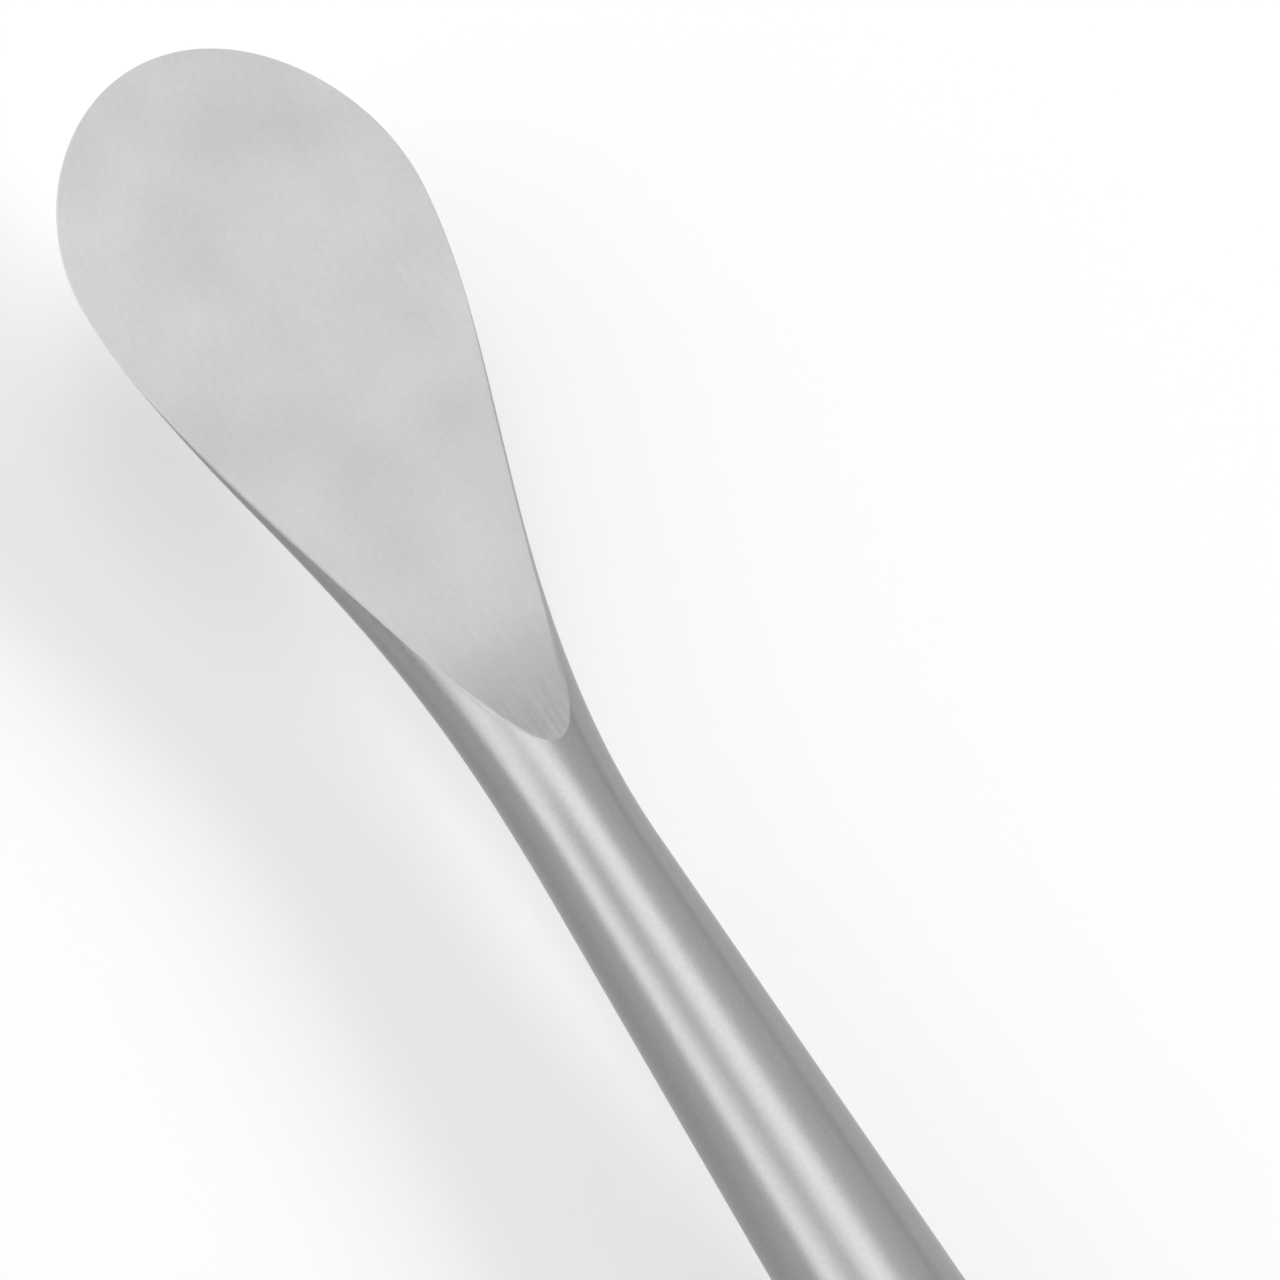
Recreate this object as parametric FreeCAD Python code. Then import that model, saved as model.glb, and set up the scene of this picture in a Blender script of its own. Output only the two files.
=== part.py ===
"""Spinal elevator, made in one piece of stainless steel.

The shank's axis runs along X: the blade's tip is at the +X end and the grip's butt at the -X end. The
ground face of the blade looks up, along +Z, and Y = 0 is the plane of symmetry. The origin is under the
middle of the length, on the surface that the grip's lowest flat rests on. All sizes are in millimetres.
"""
import FreeCAD, Part
import math
import os

from FreeCAD import Matrix, Vector

# Whole instrument
OVERALL_LENGTH = 280.0

# Grip, milled to an octagon, with its corners left from the turned bar
GRIP_LENGTH = 112.0
GRIP_DIAMETER = 16.7
GRIP_ACROSS_FLATS = 16.0
GRIP_SIDES = 8
BUTT_ROUNDING = 4.0

# Shank, turned: a straight taper from the neck, then a shoulder that swells into the grip
SHANK_TAPER = 0.035
SHOULDER_LENGTH = 24.0
SHOULDER_REACH = 9.0

# Neck, where the turned shank ends and the forged blade begins
NECK_FROM_TIP = 60.0
NECK_DIAMETER = 7.74

# Blade in plan: a round nose, then flanks that sweep in to the neck
BLADE_WIDTH = 25.0
NOSE_LENGTH = 13.2
FLANK_REACH = 12.1
NECK_REACH = 21.4

# Blade in depth: its sections are ellipses, and these are their depths and how they thin towards the tip
BLADE_DEPTH = 3.64
TIP_DEPTH = 1.2
DEPTH_SLOPE = 0.2
DEPTH_REACH = 16.0
NECK_DEPTH_REACH = 33.9

# Middle line of those ellipses: it leaves the shank's axis at the neck and climbs to just under the face
LINE_SLOPE = 0.1
LINE_REACH = 33.0
LINE_RUNOUT = 9.6
FACE_OVER_LINE = 0.14

# Ground face: a long hollow with a tighter run-out at the neck. Its lowest point is measured from the
# tip and from the shank's axis.
FACE_LOW_FROM_TIP = 39.7
FACE_LOW_HEIGHT = 3.28
FACE_RADIUS = 187.0
RUNOUT_RADIUS = 104.0
RUNOUT_RISE = 2.5

# Sections that the blade is drawn through, and the angle at which the nose's last one closes it
FLANK_SECTIONS = 20
NOSE_SECTIONS = 10
NOSE_END_ANGLE = 88.5

# Places along X, and the height of the shank's axis
TIP_X = OVERALL_LENGTH / 2
BUTT_X = -OVERALL_LENGTH / 2
GRIP_FRONT_X = BUTT_X + GRIP_LENGTH
NECK_X = TIP_X - NECK_FROM_TIP
WIDEST_X = TIP_X - NOSE_LENGTH
FACE_LOW_X = TIP_X - FACE_LOW_FROM_TIP
AXIS_Z = GRIP_ACROSS_FLATS / 2

GRIP_RADIUS = GRIP_DIAMETER / 2
NECK_RADIUS = NECK_DIAMETER / 2


def bezier(*poles):
    """Bezier curve in the XZ plane through poles given as (x, z)."""
    curve = Part.BezierCurve()
    curve.setPoles([Vector(x, 0, z) for x, z in poles])
    return curve


def height_at(curve, x):
    """Height of a curve that runs steadily along +X, where it passes x."""
    low, high = curve.FirstParameter, curve.LastParameter
    while high - low > 1e-12:
        middle = (low + high) / 2
        if curve.value(middle).x < x:
            low = middle
        else:
            high = middle
    return curve.value(low).z


def face_height(x):
    """Height of the ground face above the shank's axis, ahead of its lowest point."""
    run = x - FACE_LOW_X
    return FACE_LOW_HEIGHT + FACE_RADIUS - math.sqrt(FACE_RADIUS**2 - run**2)


def turned_body():
    """Grip and shank as they leave the lathe, up to the neck."""
    butt = Vector(BUTT_X, 0, 0)
    butt_edge = Vector(BUTT_X, 0, GRIP_RADIUS - BUTT_ROUNDING)
    grip_back = Vector(BUTT_X + BUTT_ROUNDING, 0, GRIP_RADIUS)
    rounding_centre = Vector(grip_back.x, 0, butt_edge.z)
    on_rounding = rounding_centre + Vector(-1, 0, 1).normalize() * BUTT_ROUNDING
    grip_front = Vector(GRIP_FRONT_X, 0, GRIP_RADIUS)
    neck = Vector(NECK_X, 0, NECK_RADIUS)
    neck_centre = Vector(NECK_X, 0, 0)
    taper_run = NECK_X - GRIP_FRONT_X - SHOULDER_LENGTH
    taper_back = Vector(NECK_X - taper_run, 0, NECK_RADIUS + SHANK_TAPER * taper_run)
    shoulder = bezier(
        (grip_front.x, grip_front.z),
        (grip_front.x + SHOULDER_REACH, grip_front.z),
        (taper_back.x - SHOULDER_REACH, taper_back.z + SHANK_TAPER * SHOULDER_REACH),
        (taper_back.x, taper_back.z),
    )
    outline = Part.Wire([
        Part.makeLine(butt, butt_edge),
        Part.Arc(butt_edge, on_rounding, grip_back).toShape(),
        Part.makeLine(grip_back, grip_front),
        shoulder.toShape(),
        Part.makeLine(taper_back, neck),
        Part.makeLine(neck, neck_centre),
        Part.makeLine(neck_centre, butt),
    ])
    return Part.Face(outline).revolve(Vector(), Vector(1, 0, 0), 360)


def octagonal_bar():
    """Bar with the grip's flats, one of them facing down, from the butt to the neck."""
    corner_radius = GRIP_ACROSS_FLATS / 2 / math.cos(math.pi / GRIP_SIDES)
    corners = []
    for index in range(GRIP_SIDES + 1):
        angle = 2 * math.pi * (index + 0.5) / GRIP_SIDES - math.pi / 2
        corners.append(Vector(BUTT_X, math.cos(angle) * corner_radius, math.sin(angle) * corner_radius))
    return Part.Face(Part.makePolygon(corners)).extrude(Vector(NECK_X - BUTT_X, 0, 0))


def blade_section(x, half_width, half_depth, middle):
    """Elliptical section of the blade, square to the axis, with its seam at the top."""
    shaping = Matrix()
    shaping.scale(1, half_width, half_depth)
    shaping.move(Vector(x, 0, middle))
    circle = Part.Circle(Vector(), Vector(1, 0, 0), 1).toShape()
    return Part.Wire(circle.transformGeometry(shaping))


def flank_sections():
    """Sections from the neck to the widest place, where plan, depth and middle line are smooth curves."""
    half_width = BLADE_WIDTH / 2
    half_depth = BLADE_DEPTH / 2
    widest_middle = face_height(WIDEST_X) - FACE_OVER_LINE
    plan = bezier(
        (NECK_X, NECK_RADIUS),
        (NECK_X + NECK_REACH, NECK_RADIUS - SHANK_TAPER * NECK_REACH),
        (WIDEST_X - FLANK_REACH, half_width),
        (WIDEST_X, half_width),
    )
    depth = bezier(
        (NECK_X, NECK_RADIUS),
        (NECK_X + NECK_DEPTH_REACH, NECK_RADIUS - SHANK_TAPER * NECK_DEPTH_REACH),
        (WIDEST_X - DEPTH_REACH, half_depth + DEPTH_SLOPE * DEPTH_REACH),
        (WIDEST_X, half_depth),
    )
    middle_line = bezier(
        (NECK_X, 0),
        (NECK_X + LINE_RUNOUT, 0),
        (WIDEST_X - LINE_REACH, widest_middle - LINE_SLOPE * LINE_REACH),
        (WIDEST_X, widest_middle),
    )
    sections = []
    for index in range(FLANK_SECTIONS + 1):
        x = NECK_X + (WIDEST_X - NECK_X) * index / FLANK_SECTIONS
        sections.append(blade_section(x, height_at(plan, x), height_at(depth, x), height_at(middle_line, x)))
    return sections


def nose_sections():
    """Sections from the widest place to the tip: half an ellipse in plan, thinned to a fine edge."""
    half_depth = BLADE_DEPTH / 2
    tip_half_depth = TIP_DEPTH / 2
    thinned_x = WIDEST_X + (half_depth - tip_half_depth) / DEPTH_SLOPE
    depth = bezier((WIDEST_X, half_depth), (thinned_x, tip_half_depth), (TIP_X, tip_half_depth))
    sections = []
    for index in range(1, NOSE_SECTIONS + 1):
        angle = math.radians(NOSE_END_ANGLE) * index / NOSE_SECTIONS
        x = WIDEST_X + NOSE_LENGTH * math.sin(angle)
        share = math.cos(angle)
        middle = face_height(x) - FACE_OVER_LINE * share
        sections.append(blade_section(x, BLADE_WIDTH / 2 * share, height_at(depth, x) * share, middle))
    return sections


def blade_body():
    """Forged blade from the neck to the tip, before its face is ground."""
    return Part.makeLoft(flank_sections() + nose_sections(), True)


def face_grinding():
    """Stock that grinding takes off above the blade's face."""
    clear = BLADE_WIDTH
    run_end = math.sqrt(RUNOUT_RADIUS**2 - (RUNOUT_RADIUS - RUNOUT_RISE) ** 2)

    def on_arc(radius, run):
        return Vector(FACE_LOW_X + run, 0, FACE_LOW_HEIGHT + radius - math.sqrt(radius**2 - run**2))

    lowest = on_arc(FACE_RADIUS, 0)
    beyond_tip = TIP_X + clear - FACE_LOW_X
    hollow = Part.Arc(on_arc(RUNOUT_RADIUS, -run_end), on_arc(RUNOUT_RADIUS, -run_end / 2), lowest)
    face = Part.Arc(lowest, on_arc(FACE_RADIUS, beyond_tip / 2), on_arc(FACE_RADIUS, beyond_tip))
    back, front = hollow.StartPoint, face.EndPoint
    top = front.z + clear
    outline = Part.Wire([
        hollow.toShape(),
        face.toShape(),
        Part.makeLine(front, Vector(front.x, 0, top)),
        Part.makeLine(Vector(front.x, 0, top), Vector(back.x, 0, top)),
        Part.makeLine(Vector(back.x, 0, top), back),
    ])
    outline.translate(Vector(0, -clear, 0))
    return Part.Face(outline).extrude(Vector(0, 2 * clear, 0))


def elevator():
    """Whole instrument, with the lowest flat of its grip on Z = 0."""
    shank = turned_body().common(octagonal_bar())
    whole = shank.fuse(blade_body()).cut(face_grinding()).removeSplitter()
    whole.translate(Vector(0, 0, AXIS_Z))
    return whole.Solids[0]


os.makedirs("parts", exist_ok=True)
elevator().exportStep("parts/elevator.step")
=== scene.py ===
"""Spinal elevator: one piece of satin stainless steel, lying on a pale table under soft lamps.

The piece is drawn through rings of points, one ring at each place along the shank's axis, from the same
sizes as the part's source. Sizes are in millimetres, apart from those of the lamps, and become metres
where a mesh is written.
"""
from __future__ import annotations

import logging
import math
from collections.abc import Callable
from dataclasses import dataclass, field
from enum import Enum
from typing import Union

import bmesh
import bpy
from mathutils import Matrix, Vector


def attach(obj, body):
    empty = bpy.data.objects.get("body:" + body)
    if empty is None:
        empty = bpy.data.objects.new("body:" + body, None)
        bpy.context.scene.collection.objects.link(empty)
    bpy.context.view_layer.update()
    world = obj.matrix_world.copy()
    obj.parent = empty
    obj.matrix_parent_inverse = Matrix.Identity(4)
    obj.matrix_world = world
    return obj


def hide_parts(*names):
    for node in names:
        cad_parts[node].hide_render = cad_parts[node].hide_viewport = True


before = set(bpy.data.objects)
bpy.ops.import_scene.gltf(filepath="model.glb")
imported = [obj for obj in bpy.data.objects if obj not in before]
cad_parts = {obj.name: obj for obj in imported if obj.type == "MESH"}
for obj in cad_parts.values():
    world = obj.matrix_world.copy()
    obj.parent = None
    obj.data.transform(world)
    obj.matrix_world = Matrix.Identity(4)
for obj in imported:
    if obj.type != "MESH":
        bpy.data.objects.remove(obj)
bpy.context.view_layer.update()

MM = 0.001
log = logging.getLogger("elevator")

Point = tuple[float, float, float]
Operand = Union["Value", float]


class Value:
    """Socket of a shader graph whose arithmetic adds Math nodes."""

    def __init__(self, graph: Graph, socket: bpy.types.NodeSocket | None) -> None:
        """Keeps the socket and the graph that it belongs to."""
        self.graph = graph
        self.socket = socket

    def _math(self, operation: str, first: Operand, second: Operand) -> Value:
        """Adds one Math node of an operation on two operands."""
        return self.graph.add("ShaderNodeMath", {"operation": operation}, {0: first, 1: second})

    def __add__(self, other: Operand) -> Value:
        """Sum."""
        return self._math("ADD", self, other)

    __radd__ = __add__

    def __sub__(self, other: Operand) -> Value:
        """Difference."""
        return self._math("SUBTRACT", self, other)

    def __rsub__(self, other: Operand) -> Value:
        """Difference from a number."""
        return self._math("SUBTRACT", other, self)

    def __mul__(self, other: Operand) -> Value:
        """Product."""
        return self._math("MULTIPLY", self, other)

    __rmul__ = __mul__


class Graph:
    """Node tree of one material, or of the world."""

    def __init__(self, owner: bpy.types.Material | bpy.types.World) -> None:
        """Takes the owner's tree and empties it.

        Args:
            owner: the material or world.
        """
        owner.use_nodes = True
        self.tree = owner.node_tree
        self.tree.nodes.clear()

    def add(
        self,
        kind: str,
        settings: dict[str, object] | None = None,
        inputs: dict[str | int, object] | None = None,
        output: str | int = 0,
    ) -> Value:
        """Adds a node.

        Args:
            kind: the node's type.
            settings: its properties, which are set first.
            inputs: what its sockets hold or are linked to, by name or number.
            output: the socket that is returned.

        Returns:
            The chosen output, or a value without a socket where the node has no output.
        """
        node = self.tree.nodes.new(kind)
        for name, setting in (settings or {}).items():
            setattr(node, name, setting)
        for name, given in (inputs or {}).items():
            if isinstance(given, Value):
                self.tree.links.new(given.socket, node.inputs[name])
            else:
                node.inputs[name].default_value = given
        return Value(self, node.outputs[output] if node.outputs else None)

    def place(self) -> Value:
        """Place on the surface, in metres of the shared frame."""
        return self.add("ShaderNodeTexCoord", output="Object")

    def noise(self, place: Value, cell: Point, detail: float, seed: float) -> Value:
        """Noise that swings round 0, by up to a half either way.

        Args:
            place: where the noise is read.
            cell: how large its cells are along each axis, in millimetres.
            detail: how many finer octaves are added.
            seed: slice of the noise that is taken.

        Returns:
            The noise.
        """
        scale = tuple(1 / (length * MM) for length in cell)
        scaled = self.add("ShaderNodeVectorMath", {"operation": "MULTIPLY"}, {0: place, 1: scale})
        noise = self.add(
            "ShaderNodeTexNoise",
            {"noise_dimensions": "4D"},
            {"Vector": scaled, "W": seed, "Scale": 1.0, "Detail": detail, "Roughness": 0.55},
        )
        return noise - 0.5

    def ramp(self, value: Value, start: float, end: float) -> Value:
        """Smooth step of a value, from 0 at start to 1 at end."""
        return self.add(
            "ShaderNodeMapRange",
            {"interpolation_type": "SMOOTHSTEP"},
            {"Value": value, "From Min": start, "From Max": end},
        )

    def grey(self, level: Value) -> Value:
        """Grey of a changing level."""
        return self.add("ShaderNodeCombineColor", None, {0: level, 1: level, 2: level})

    def seen(self) -> Value:
        """1 where the camera, metal or glass sees the surface, and 0 for the light that it gives."""
        return (
            self.add("ShaderNodeLightPath", output="Is Camera Ray")
            + self.add("ShaderNodeLightPath", output="Is Glossy Ray")
            + self.add("ShaderNodeLightPath", output="Is Transmission Ray")
        )

    def bump(self, height: Value, distance: float) -> Value:
        """Normal of a surface whose height changes by a distance in metres."""
        return self.add("ShaderNodeBump", None, {"Strength": 1.0, "Distance": distance, "Height": height})

    def add_steel(self, level: Value, roughness: Value, normal: Value) -> None:
        """Ends the tree with a steel surface.

        Args:
            level: grey of the steel.
            roughness: its roughness.
            normal: its normal.
        """
        surface = self.add(
            "ShaderNodeBsdfPrincipled",
            None,
            {"Metallic": 1.0, "Base Color": self.grey(level), "Roughness": roughness, "Normal": normal},
        )
        self.add("ShaderNodeOutputMaterial", None, {"Surface": surface})


@dataclass(frozen=True)
class TurnedFinish:
    """Turned and satin-polished steel of the grip, shank and flanks, with faint lengthwise lines."""

    name: str = "turned satin steel"
    level: float = 0.31
    roughness: float = 0.36
    line_length: float = 6.0
    line_width: float = 0.16
    line_height: float = 0.00012
    grain_size: float = 0.26
    cloud_length: float = 14.0
    cloud_width: float = 7.0
    # How far the level and the roughness swing with them
    line_tone: float = 0.08
    grain_tone: float = 0.22
    cloud_tone: float = 0.08
    line_dulling: float = 0.06
    cloud_dulling: float = 0.05

    def material(self) -> bpy.types.Material:
        """Builds the finish.

        Returns:
            The material.
        """
        material = bpy.data.materials.new(self.name)
        graph = Graph(material)
        place = graph.place()
        lines = graph.noise(place, (self.line_length, self.line_width, self.line_width), detail=2.0, seed=1.0)
        grains = graph.noise(place, (self.grain_size,) * 3, detail=2.0, seed=3.0)
        clouds = graph.noise(
            place, (self.cloud_length, self.cloud_width, self.cloud_width), detail=2.0, seed=4.0
        )
        tone = 1 + self.cloud_tone * clouds + self.line_tone * lines + self.grain_tone * grains
        graph.add_steel(
            level=self.level * tone,
            roughness=self.roughness + self.cloud_dulling * clouds + self.line_dulling * lines,
            normal=graph.bump(lines, self.line_height * MM),
        )
        return material


@dataclass(frozen=True)
class GroundFinish:
    """Finely ground steel of the blade's face: lines along the blade, soft clouds, and painted shade where
    the face curves into its run-out.
    """

    name: str = "ground satin steel"
    level: float = 0.506
    roughness: float = 0.50
    line_length: float = 3.5
    line_width: float = 0.2
    line_height: float = 0.0003
    streak_length: float = 6.0
    streak_width: float = 0.42
    cloud_size: float = 8.0
    speck_length: float = 0.6
    speck_width: float = 0.4
    # How far the level and the roughness swing with them
    line_tone: float = 0.09
    speck_tone: float = 0.11
    cloud_tone: float = 0.3
    line_dulling: float = 0.06
    cloud_dulling: float = 0.06
    # Painted shade where the grinding runs out and the face curves towards the neck: where it starts and is
    # full along X, its level, and how far the streaks shift and tone it
    runout_start: float = 98.6
    runout_end: float = 89.5
    runout_shade_level: float = 0.74
    runout_shift: float = 6.0
    runout_tone: float = 0.4
    # Where the face turns a little brighter towards the nose, along X
    nose_start: float = 112.0
    nose_end: float = 127.0
    nose_gain: float = 0.085

    def material(self) -> bpy.types.Material:
        """Builds the finish.

        Returns:
            The material.
        """
        material = bpy.data.materials.new(self.name)
        graph = Graph(material)
        place = graph.place()
        lines = graph.noise(place, self.cell(self.line_length, self.line_width), detail=3.0, seed=2.0)
        streaks = graph.noise(place, self.cell(self.streak_length, self.streak_width), detail=3.0, seed=5.0)
        clouds = graph.noise(place, self.cell(self.cloud_size, self.cloud_size), detail=1.0, seed=7.0)
        specks = graph.noise(place, self.cell(self.speck_length, self.speck_width), detail=1.0, seed=9.0)
        along = graph.add("ShaderNodeSeparateXYZ", None, {0: place}) + self.runout_shift * MM * streaks
        # Painted shade of the face's curve into the run-out, streaked along the grinding lines
        runout = graph.ramp(along, self.runout_start * MM, self.runout_end * MM)
        painted_runout_shade = 1 - runout * (1 - self.runout_shade_level + self.runout_tone * streaks)
        # The face's level rises a little towards the nose
        nose_brightening = 1 + self.nose_gain * graph.ramp(along, self.nose_start * MM, self.nose_end * MM)
        tone = 1 + self.cloud_tone * clouds + self.speck_tone * specks + self.line_tone * lines
        graph.add_steel(
            level=self.level * tone * painted_runout_shade * nose_brightening,
            roughness=self.roughness + self.cloud_dulling * clouds + self.line_dulling * lines,
            normal=graph.bump(lines, self.line_height * MM),
        )
        return material

    def cell(self, length: float, width: float) -> Point:
        """Noise cell that is so long and wide on the face and reaches all through its depth."""
        return length, width, math.inf


@dataclass(frozen=True)
class Bezier:
    """Plane Bezier curve through poles given as (x, height), which runs steadily along +X."""

    poles: tuple[tuple[float, float], ...]

    def point(self, share: float) -> tuple[float, float]:
        """Point at a share of the way, from 0 to 1."""
        points = list(self.poles)
        while len(points) > 1:
            points = [
                (a[0] + (b[0] - a[0]) * share, a[1] + (b[1] - a[1]) * share)
                for a, b in zip(points, points[1:])
            ]
        return points[0]

    def height_at(self, x: float) -> float:
        """Height where the curve passes x."""
        return self.point(halved(lambda share: self.point(share)[0] - x, 0.0, 1.0))[1]


def halved(rising: Callable[[float], float], low: float, high: float) -> float:
    """Place where a function passes zero, found by halving.

    Args:
        rising: a function that rises through zero between low and high.
        low: start of the search.
        high: its end.

    Returns:
        The place.
    """
    for _ in range(50):
        middle = (low + high) / 2
        if rising(middle) < 0:
            low = middle
        else:
            high = middle
    return (low + high) / 2


def smooth_step(value: float) -> float:
    """Smooth rise from 0 at 0 to 1 at 1, level outside."""
    value = max(0.0, min(1.0, value))
    return value * value * (3 - 2 * value)


def skinned(
    name: str,
    rings: list[list[Point]],
    finishes: list[bpy.types.Material],
    finish_at: Callable[[int], int],
) -> bpy.types.Object:
    """Skins closed rings of points with smooth faces of four corners.

    Args:
        name: the object's name.
        rings: the rings, in millimetres, all with the same number of points.
        finishes: the object's materials.
        finish_at: which of them the faces have that follow a point of that number.

    Returns:
        The object.
    """
    shape = bmesh.new()
    rows = [[shape.verts.new(Vector(point) * MM) for point in ring] for ring in rings]
    for row, ahead in zip(rows, rows[1:]):
        for index, corner in enumerate(row):
            following = (index + 1) % len(row)
            skin = shape.faces.new((corner, row[following], ahead[following], ahead[index]))
            skin.smooth = True
            skin.material_index = finish_at(index)
    bmesh.ops.remove_doubles(shape, verts=shape.verts, dist=1e-8)
    bmesh.ops.recalc_face_normals(shape, faces=shape.faces)
    mesh = bpy.data.meshes.new(name)
    shape.to_mesh(mesh)
    shape.free()
    for finish in finishes:
        mesh.materials.append(finish)
    skinned_object = bpy.data.objects.new(name, mesh)
    bpy.context.scene.collection.objects.link(skinned_object)
    log.info("%s: %d rings, %d faces", name, len(rings), len(mesh.polygons))
    return skinned_object


class Zone(Enum):
    """Zones of finish on the piece, in the order of its materials."""

    TURNED = 0
    FACE = 1
    RIM = 2


@dataclass(frozen=True)
class Ellipse:
    """Section of the blade before its face is ground."""

    half_width: float
    half_depth: float
    middle: float

    def point(self, angle: float) -> tuple[float, float]:
        """Point (y, z) at an angle, which is 0 at the +Y end and a quarter turn at the top."""
        return self.half_width * math.cos(angle), self.middle + self.half_depth * math.sin(angle)

    def normal(self, angle: float) -> tuple[float, float]:
        """Outward normal (y, z) at that angle."""
        y, z = math.cos(angle) / self.half_width, math.sin(angle) / self.half_depth
        length = math.hypot(y, z)
        return y / length, z / length


@dataclass
class Elevator:
    """The whole instrument: octagonal grip, turned shank and ground blade, as one mesh."""

    overall_length: float = 280.0
    grip_length: float = 112.0
    grip_diameter: float = 16.7
    grip_across_flats: float = 16.0
    grip_sides: int = 8
    butt_rounding: float = 4.0
    shank_taper: float = 0.035
    shoulder_length: float = 24.0
    shoulder_reach: float = 9.0
    neck_from_tip: float = 60.0
    neck_diameter: float = 7.74
    blade_width: float = 25.0
    nose_length: float = 13.2
    flank_reach: float = 12.1
    neck_reach: float = 21.4
    blade_depth: float = 3.64
    tip_depth: float = 1.2
    depth_slope: float = 0.2
    depth_reach: float = 16.0
    neck_depth_reach: float = 33.9
    line_slope: float = 0.1
    line_reach: float = 33.0
    line_runout: float = 9.6
    face_over_line: float = 0.14
    face_low_from_tip: float = 39.7
    face_low_height: float = 3.28
    face_radius: float = 187.0
    runout_radius: float = 104.0
    # Softened edges, which the part's source leaves crisp
    rim_rounding: float = 0.25
    notch_rounding: float = 1.3
    notch_reach: float = 9.0
    rim_share: float = 0.7
    # Honed edge of the nose: how far its sections rise towards the face, and where that starts and is full
    honing: float = 0.27
    honing_start: float = 110.0
    honing_full: float = 122.0
    honed_rounding: float = 0.03
    grip_edge_softening: float = math.radians(1.2)
    grip_edge_cut: float = 0.25
    # Points of a ring: down one flank and up the other, round each rim, and across the face
    flank_steps: int = 128
    rim_steps: int = 5
    face_steps: int = 16
    rim_guard: float = 0.12
    # Which point of half a sector of the grip is on the flat's edge, counted from the flat's middle
    edge_step: int = 3
    # Rings of each stretch
    butt_rings: int = 8
    grip_rings: int = 24
    scallop_rings: int = 12
    shoulder_rings: int = 24
    shank_rings: int = 24
    neck_rings: int = 24
    flank_rings: int = 96
    nose_rings: int = 60
    rings: list[list[Point]] = field(default_factory=list)

    def __post_init__(self) -> None:
        """Works out the places along the axis and the blade's curves."""
        self.tip_x = self.overall_length / 2
        self.butt_x = -self.overall_length / 2
        self.grip_front_x = self.butt_x + self.grip_length
        self.neck_x = self.tip_x - self.neck_from_tip
        self.widest_x = self.tip_x - self.nose_length
        self.face_low_x = self.tip_x - self.face_low_from_tip
        self.axis_z = self.grip_across_flats / 2
        self.grip_radius = self.grip_diameter / 2
        neck_radius = self.neck_diameter / 2
        half_width = self.blade_width / 2
        half_depth = self.blade_depth / 2
        tip_half_depth = self.tip_depth / 2
        self.taper_back_x = self.grip_front_x + self.shoulder_length
        taper_back_radius = neck_radius + self.shank_taper * (self.neck_x - self.taper_back_x)
        self.shoulder = Bezier((
            (self.grip_front_x, self.grip_radius),
            (self.grip_front_x + self.shoulder_reach, self.grip_radius),
            (
                self.taper_back_x - self.shoulder_reach,
                taper_back_radius + self.shank_taper * self.shoulder_reach,
            ),
            (self.taper_back_x, taper_back_radius),
        ))
        self.taper = Bezier(((self.taper_back_x, taper_back_radius), (self.neck_x, neck_radius)))
        self.plan = Bezier((
            (self.neck_x, neck_radius),
            (self.neck_x + self.neck_reach, neck_radius - self.shank_taper * self.neck_reach),
            (self.widest_x - self.flank_reach, half_width),
            (self.widest_x, half_width),
        ))
        self.depth = Bezier((
            (self.neck_x, neck_radius),
            (
                self.neck_x + self.neck_depth_reach,
                neck_radius - self.shank_taper * self.neck_depth_reach,
            ),
            (self.widest_x - self.depth_reach, half_depth + self.depth_slope * self.depth_reach),
            (self.widest_x, half_depth),
        ))
        widest_middle = self.face_height(self.widest_x) - self.face_over_line
        self.middle_line = Bezier((
            (self.neck_x, 0.0),
            (self.neck_x + self.line_runout, 0.0),
            (self.widest_x - self.line_reach, widest_middle - self.line_slope * self.line_reach),
            (self.widest_x, widest_middle),
        ))
        self.nose_depth = Bezier((
            (self.widest_x, half_depth),
            (self.widest_x + (half_depth - tip_half_depth) / self.depth_slope, tip_half_depth),
            (self.tip_x, tip_half_depth),
        ))
        self.notch_x = halved(self.under_top, self.neck_x, self.face_low_x)

    def face_height(self, x: float) -> float:
        """Height of the ground face over the shank's axis."""
        run = x - self.face_low_x
        radius = self.face_radius if run > 0 else self.runout_radius
        return self.face_low_height + radius - math.sqrt(radius**2 - run**2)

    def honed_share(self, x: float) -> float:
        """How far the honing of the edge has set in, from 0 to 1."""
        return smooth_step((x - self.honing_start) / (self.honing_full - self.honing_start))

    def flank_ellipse(self, x: float) -> Ellipse:
        """Section between the neck and the widest place."""
        middle = self.middle_line.height_at(x) + self.honing * self.honed_share(x)
        return Ellipse(self.plan.height_at(x), self.depth.height_at(x), middle)

    def under_top(self, x: float) -> float:
        """How far the ground face lies under the top of the section there."""
        ellipse = self.flank_ellipse(x)
        return ellipse.middle + ellipse.half_depth - self.face_height(x)

    def rim_radius(self, x: float, ellipse: Ellipse) -> float:
        """Radius of the rims' rounding: wide at the notch, where face and flank meet at a low angle.

        Args:
            x: place along the axis.
            ellipse: the section there.

        Returns:
            The radius, which stays under the section's own at its end.
        """
        share = smooth_step((x - self.notch_x) / self.notch_reach)
        rounding = self.notch_rounding + (self.rim_rounding - self.notch_rounding) * share
        rounding += (self.honed_rounding - rounding) * self.honed_share(x)
        end_radius = ellipse.half_depth**2 / ellipse.half_width
        return 1 / (1 / rounding + 1 / (self.rim_share * end_radius))

    def nose_ellipse(self, x: float, share: float) -> Ellipse:
        """Section of the nose, whose half width is a share of the blade's."""
        return Ellipse(
            self.blade_width / 2 * share,
            self.nose_depth.height_at(x) * share,
            self.face_height(x) + (self.honing - self.face_over_line) * share,
        )

    def add_ring(self, x: float, flank: list[tuple[float, float]], face: list[tuple[float, float]]) -> None:
        """Adds a ring of (y, z) points: the flank's, then those of the rims and face.

        Args:
            x: place of the ring along the axis.
            flank: points round the outside.
            face: points round the rims and across the face, or none where the ring is closed.
        """
        closing = face or [flank[-1]] * (2 * self.rim_steps + self.face_steps - 1)
        self.rings.append([(x, y, z + self.axis_z) for y, z in flank + closing])

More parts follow.
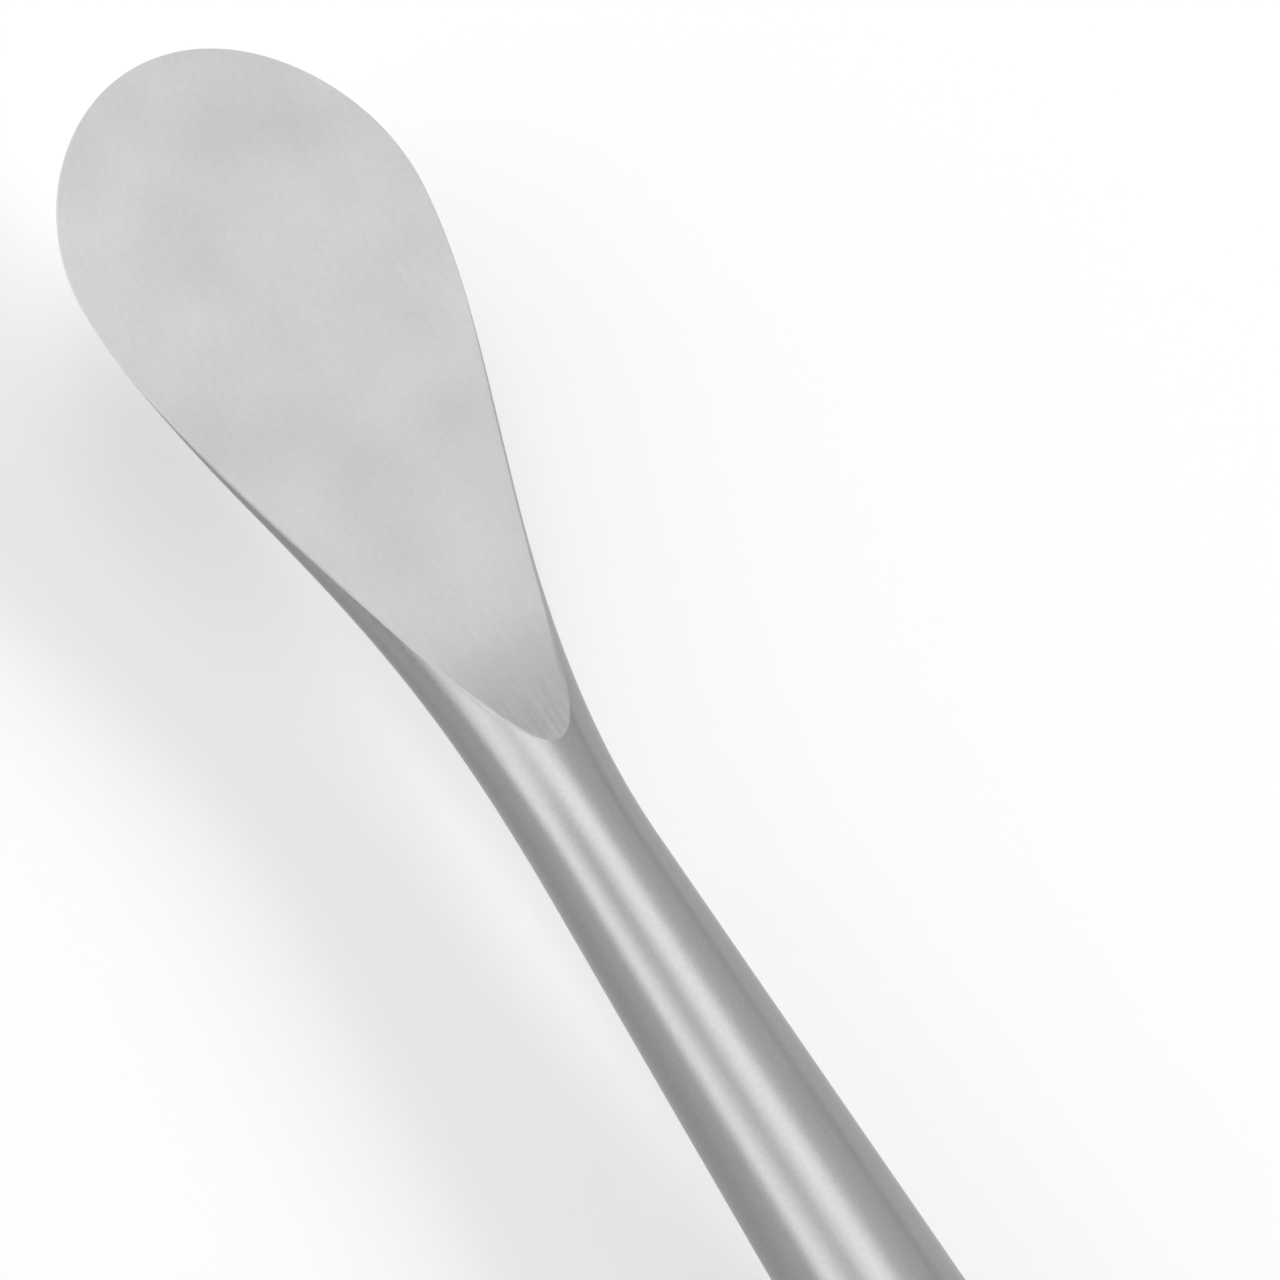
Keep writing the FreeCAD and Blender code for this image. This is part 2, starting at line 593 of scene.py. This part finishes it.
    def add_dot(self, x: float, z: float) -> None:
        """Adds a ring that has shrunk to a point on the plane of symmetry."""
        self.add_ring(x, [(0.0, z)] * (self.flank_steps + 1), [])

    def sector_steps(self, flat_end: float) -> list[float]:
        """Angles of a ring's points from the middle of a flat of the grip to the middle of its corner.

        Args:
            flat_end: angle at which the flat ends.

        Returns:
            The angles: on the flat, at its edge, and on the corner.
        """
        corner = math.pi / self.grip_sides
        soft = min(self.grip_edge_softening, flat_end / 2)
        start = flat_end + soft
        on_corner = self.flank_steps // (2 * self.grip_sides) - self.edge_step - 1
        angles = [0.0, (flat_end - soft) / 2, flat_end - soft, flat_end]
        return angles + [start + (corner - start) * index / on_corner for index in range(on_corner + 1)]

    def add_grip_ring(self, x: float, radius: float) -> None:
        """Adds a ring of the turned body where it is wider than the grip's flats are apart."""
        flat = self.grip_across_flats / 2
        flat_end = math.acos(min(1.0, flat / radius))
        angles = self.sector_steps(flat_end)
        overshoot = flat / math.cos(angles[self.edge_step + 1]) - radius
        radii = [min(radius, flat / math.cos(angle)) for angle in angles]
        radii[self.edge_step] -= self.grip_edge_cut * overshoot
        flank = []
        sector = 2 * math.pi / self.grip_sides
        for index in range(self.grip_sides):
            rising = [(sector * index + a, r) for a, r in zip(angles, radii)]
            falling = [(sector * (index + 1) - a, r) for a, r in zip(angles, radii)]
            flank += rising[:-1] + falling[:0:-1]
        flank.append(flank[0])
        self.add_ring(x, [(r * math.sin(a), r * math.cos(a)) for a, r in flank], [])

    def add_round_ring(self, x: float, ellipse: Ellipse) -> None:
        """Adds a closed ring round a whole ellipse, from its top."""
        quarter = math.pi / 2
        turn = 2 * math.pi / self.flank_steps
        flank = [ellipse.point(quarter - turn * index) for index in range(self.flank_steps)]
        self.add_ring(x, flank + flank[:1], [])

    def add_circle(self, x: float, radius: float) -> None:
        """Adds a closed ring of the turned body."""
        self.add_round_ring(x, Ellipse(radius, radius, 0.0))

    def add_cut_ring(self, x: float, ellipse: Ellipse) -> None:
        """Adds a ring whose top is cut off by the face, with a small rounding at each rim."""
        face = self.face_height(x)
        rounding = self.rim_radius(x, ellipse)

        def centre_height(angle: float) -> float:
            """Height over the face of a rim's rounding that touches the ellipse at an angle."""
            return ellipse.point(angle)[1] - rounding * ellipse.normal(angle)[1] - face + rounding

        start = halved(centre_height, -math.pi / 2, math.pi / 2)
        sweep = math.pi + 2 * start
        flank = [ellipse.point(start - sweep * i / self.flank_steps) for i in range(self.flank_steps + 1)]
        y_normal, z_normal = ellipse.normal(start)
        centre_y = ellipse.point(start)[0] - rounding * y_normal
        lean = math.atan2(z_normal, y_normal)
        rim = []
        for index in range(1, self.rim_steps + 1):
            angle = lean + (math.pi / 2 - lean) * index / self.rim_steps
            rim.append((centre_y + rounding * math.cos(angle), face - rounding + rounding * math.sin(angle)))
        guard = min(self.rim_guard, centre_y / 10)
        inner = self.face_steps - 2
        across = [-(centre_y - guard) * (1 - 2 * index / inner) for index in range(inner + 1)]
        top = [(-y, z) for y, z in rim] + [(y, face) for y in across] + rim[::-1]
        self.add_ring(x, flank, top)

    def add_butt_ring(self, add: Callable[[float, float], None], radius: float) -> None:
        """Adds a ring of the butt's rounding, where it has a radius, by the method for its form."""
        edge = self.grip_radius - self.butt_rounding
        angle = math.asin(min(1.0, (radius - edge) / self.butt_rounding))
        add(self.butt_x + self.butt_rounding * (1 - math.cos(angle)), radius)

    def shoulder_share(self, radius: float) -> float:
        """Share of the shoulder's curve at which it has narrowed to a radius."""
        return halved(lambda share: radius - self.shoulder.point(share)[1], 0.0, 1.0)

    def draw_grip(self) -> None:
        """Draws the butt, the grip and the shoulder."""
        rounding = self.butt_rounding
        edge = self.grip_radius - rounding
        flat = self.grip_across_flats / 2
        self.add_dot(self.butt_x, 0.0)
        self.add_circle(self.butt_x, edge / 2)
        scallop = math.asin((flat - edge) / rounding)
        for index in range(self.butt_rings):
            radius = edge + rounding * math.sin(scallop * index / self.butt_rings)
            self.add_butt_ring(self.add_circle, radius)
        flat_end = math.acos(flat / self.grip_radius)
        for index in range(self.butt_rings + 1):
            radius = flat / math.cos(flat_end * index / self.butt_rings)
            self.add_butt_ring(self.add_grip_ring, radius)
        straight = self.grip_length - rounding
        for index in range(1, self.grip_rings):
            x = self.butt_x + rounding + straight * index / self.grip_rings
            self.add_grip_ring(x, self.grip_radius)
        for index in range(self.scallop_rings + 1):
            radius = flat / math.cos(flat_end * (1 - index / self.scallop_rings))
            self.add_grip_ring(self.shoulder.point(self.shoulder_share(radius))[0], radius)
        start = self.shoulder_share(flat)
        for index in range(1, self.shoulder_rings):
            self.add_circle(*self.shoulder.point(start + (1 - start) * index / self.shoulder_rings))

    def draw_shank(self) -> None:
        """Draws the straight taper up to the neck."""
        for index in range(self.shank_rings):
            self.add_circle(*self.taper.point(index / self.shank_rings))

    def draw_blade(self) -> None:
        """Draws the neck, the blade's flanks and its nose, with rings closer together at the notch."""
        for index in range(self.neck_rings + 1):
            x = self.neck_x + (self.notch_x - self.neck_x) * index / self.neck_rings
            self.add_round_ring(x, self.flank_ellipse(x))
        for index in range(1, self.flank_rings + 1):
            x = self.notch_x + (self.widest_x - self.notch_x) * (index / self.flank_rings) ** 2
            self.add_cut_ring(x, self.flank_ellipse(x))
        for index in range(1, self.nose_rings):
            angle = math.pi / 2 * index / self.nose_rings
            x = self.widest_x + self.nose_length * math.sin(angle)
            self.add_cut_ring(x, self.nose_ellipse(x, math.cos(angle)))
        self.add_dot(self.tip_x, self.face_height(self.tip_x))

    def zone_at(self, index: int) -> int:
        """Number of the zone that follows a ring's point of that number."""
        face_start = self.flank_steps + self.rim_steps
        face_end = face_start + self.face_steps
        if face_start <= index < face_end:
            return Zone.FACE.value
        if self.flank_steps <= index < face_end + self.rim_steps:
            return Zone.RIM.value
        return Zone.TURNED.value

    def build(self, finishes: dict[Zone, bpy.types.Material]) -> bpy.types.Object:
        """Draws the rings, skins them and dresses the piece.

        Args:
            finishes: the material of each zone.

        Returns:
            The piece.
        """
        self.draw_grip()
        self.draw_shank()
        self.draw_blade()
        piece = skinned("elevator_body", self.rings, [finishes[zone] for zone in Zone], self.zone_at)
        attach(piece, "root")
        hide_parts("elevator")
        return piece


@dataclass(frozen=True)
class Lamp:
    """Soft rectangular lamp that looks at the object.

    Attributes:
        name: its name.
        along: how far it stands along X, as a share of its distance.
        tilt: how far it leans from upright towards +Y, in degrees round X.
        width: its size along X, in metres.
        height: its other size, in metres.
        level: how bright it is.
        distance: how far it stands from the object, in metres.
    """

    name: str
    along: float
    tilt: float
    width: float
    height: float
    level: float
    distance: float = 1.2

    def build(self, aim: Vector) -> None:
        """Builds the lamp.

        Args:
            aim: the point that it looks at, in metres.
        """
        tilt = math.radians(self.tilt)
        side = math.sqrt(1 - self.along**2)
        back = Vector((self.along, side * math.sin(tilt), side * math.cos(tilt)))
        right = (Vector((1, 0, 0)) - back * self.along).normalized()
        up = back.cross(right)
        light = bpy.data.lights.new(self.name, "AREA")
        light.shape = "RECTANGLE"
        light.size = self.width
        light.size_y = self.height
        light.energy = self.level * math.pi * self.width * self.height
        lamp = bpy.data.objects.new(self.name, light)
        turned = Matrix((right, up, back)).transposed().to_4x4()
        lamp.matrix_world = Matrix.Translation(aim + back * self.distance) @ turned
        lamp.visible_camera = False
        bpy.context.scene.collection.objects.link(lamp)
        log.info("%s", self.name)


@dataclass
class Studio:
    """Pale table that sweeps up all round, soft lamps and the camera."""

    # Table, with a round sweep at its edge: radii, steps of the sweep, points round it
    table_radius: float = 3000.0
    sweep_radius: float = 1500.0
    sweep_steps: int = 12
    table_sides: int = 96
    table_level: float = 0.6
    table_glow: float = 0.38
    sky_level: float = 0.22
    # Camera: the point that it looks at, where it stands from there, in degrees, and its lens
    aim: Point = (91.502, -8.180, 12.603)
    azimuth: float = 221.517
    elevation: float = 55.859
    roll: float = 21.132
    distance: float = 700.0
    lens: float = 317.80
    # Arch of strip lamps across the shank, which the camera sees mirrored in it: tilts and levels
    arch_along: float = 0.372
    strip_width: float = 0.8
    strip_height: float = 0.27
    arch: tuple[tuple[float, float], ...] = (
        (-82.0, 0.95),
        (-69.0, 0.11),
        (-56.0, 0.95),
        (-43.0, 0.70),
        (-30.0, 1.00),
        (-17.0, 0.84),
        (-4.0, 2.65),
        (9.0, 2.71),
        (22.0, 2.00),
        (35.0, 0.38),
        (48.0, 0.92),
        (61.0, 2.08),
        (74.0, 2.86),
    )
    # Other lamps: the key, which casts the shadow, and fills that the neck mirrors
    lamps: tuple[Lamp, ...] = (
        Lamp("key", -0.45, -57.0, 0.4, 0.3, 13.71),
        Lamp("wide key", -0.45, -58.0, 0.8, 0.5, 3.95),
        Lamp("front", 0.80, -52.0, 0.4, 0.25, 1.75),
        Lamp("neck far", 0.02, 67.0, 0.4, 0.27, 1.10),
        Lamp("neck side", 0.02, 54.0, 0.4, 0.27, 2.63),
        Lamp("neck middle", 0.02, 41.0, 0.4, 0.27, 1.75),
        Lamp("neck core", 0.12, 41.0, 0.25, 0.35, 0.88),
        Lamp("neck high", 0.02, 28.0, 0.4, 0.27, 1.65),
        Lamp("neck top", 0.02, 15.0, 0.4, 0.27, 1.97),
    )

    def build_table(self) -> None:
        """Builds the table as a round sheet that sweeps up far from the object."""
        material = bpy.data.materials.new("pale table")
        graph = Graph(material)
        level = self.table_level
        surface = graph.add(
            "ShaderNodeBsdfPrincipled",
            None,
            {
                "Base Color": (level, level, level, 1.0),
                "Roughness": 0.9,
                "Specular IOR Level": 0.0,
                "Emission Color": graph.grey(self.table_glow * graph.seen()),
                "Emission Strength": 1.0,
            },
        )
        graph.add("ShaderNodeOutputMaterial", None, {"Surface": surface})
        profile = [(0.0, 0.0), (self.table_radius / 2, 0.0)]
        for index in range(self.sweep_steps + 1):
            angle = math.pi / 2 * index / self.sweep_steps
            radius = self.table_radius + self.sweep_radius * math.sin(angle)
            profile.append((radius, self.sweep_radius * (1 - math.cos(angle))))
        turns = [2 * math.pi * index / self.table_sides for index in range(self.table_sides)]
        rings = [
            [(radius * math.cos(turn), radius * math.sin(turn), height) for turn in turns]
            for radius, height in profile
        ]
        skinned("table", rings, [material], lambda index: 0)

    def build_sky(self) -> None:
        """Gives the room the even tone that the steel mirrors between the lamps."""
        world = bpy.data.worlds.new("room")
        graph = Graph(world)
        sky = graph.add(
            "ShaderNodeBackground",
            None,
            {"Color": (1.0, 1.0, 1.0, 1.0), "Strength": self.sky_level * graph.seen()},
        )
        graph.add("ShaderNodeOutputWorld", None, {"Surface": sky})
        bpy.context.scene.world = world

    def build_camera(self) -> None:
        """Builds the camera, looking down on the blade from behind its left side."""
        turn, rise = math.radians(self.azimuth), math.radians(self.elevation)
        back = Vector((
            math.sin(turn) * math.cos(rise),
            -math.cos(turn) * math.cos(rise),
            math.sin(rise),
        ))
        level_right = Vector((0, 0, 1)).cross(back).normalized()
        level_up = back.cross(level_right)
        roll = math.radians(self.roll)
        right = level_right * math.cos(roll) + level_up * math.sin(roll)
        up = back.cross(right)
        data = bpy.data.cameras.new("camera")
        data.sensor_width = 36.0
        data.lens = self.lens
        data.clip_start = 0.01
        data.clip_end = 20.0
        camera = bpy.data.objects.new("camera", data)
        place = (Vector(self.aim) + back * self.distance) * MM
        turned = Matrix((right, up, back)).transposed().to_4x4()
        camera.matrix_world = Matrix.Translation(place) @ turned
        bpy.context.scene.collection.objects.link(camera)
        bpy.context.scene.camera = camera

    def strips(self) -> list[Lamp]:
        """Lamps of the arch."""
        return [
            Lamp(f"strip {tilt:.0f}", self.arch_along, tilt, self.strip_width, self.strip_height, level)
            for tilt, level in self.arch
        ]

    def build(self) -> None:
        """Builds the table, the lights and the camera."""
        self.build_table()
        self.build_sky()
        for lamp in self.strips() + list(self.lamps):
            lamp.build(Vector(self.aim) * MM)
        self.build_camera()
        bpy.context.scene.view_settings.view_transform = "Standard"


def main() -> None:
    """Builds the instrument and the studio, and writes how large they are."""
    logging.basicConfig(level=logging.INFO, format="%(name)s: %(message)s")
    finishes = {
        Zone.TURNED: TurnedFinish().material(),
        Zone.FACE: GroundFinish().material(),
        # The rim takes the ground finish at a lower level, which is painted shade that dims the highlight
        # along the rim, and it leaves out the run-out's painted shade
        Zone.RIM: GroundFinish("eased rim", level=0.392, runout_shade_level=1.0).material(),
    }
    Elevator().build(finishes)
    Studio().build()


if __name__ == "__main__":
    main()
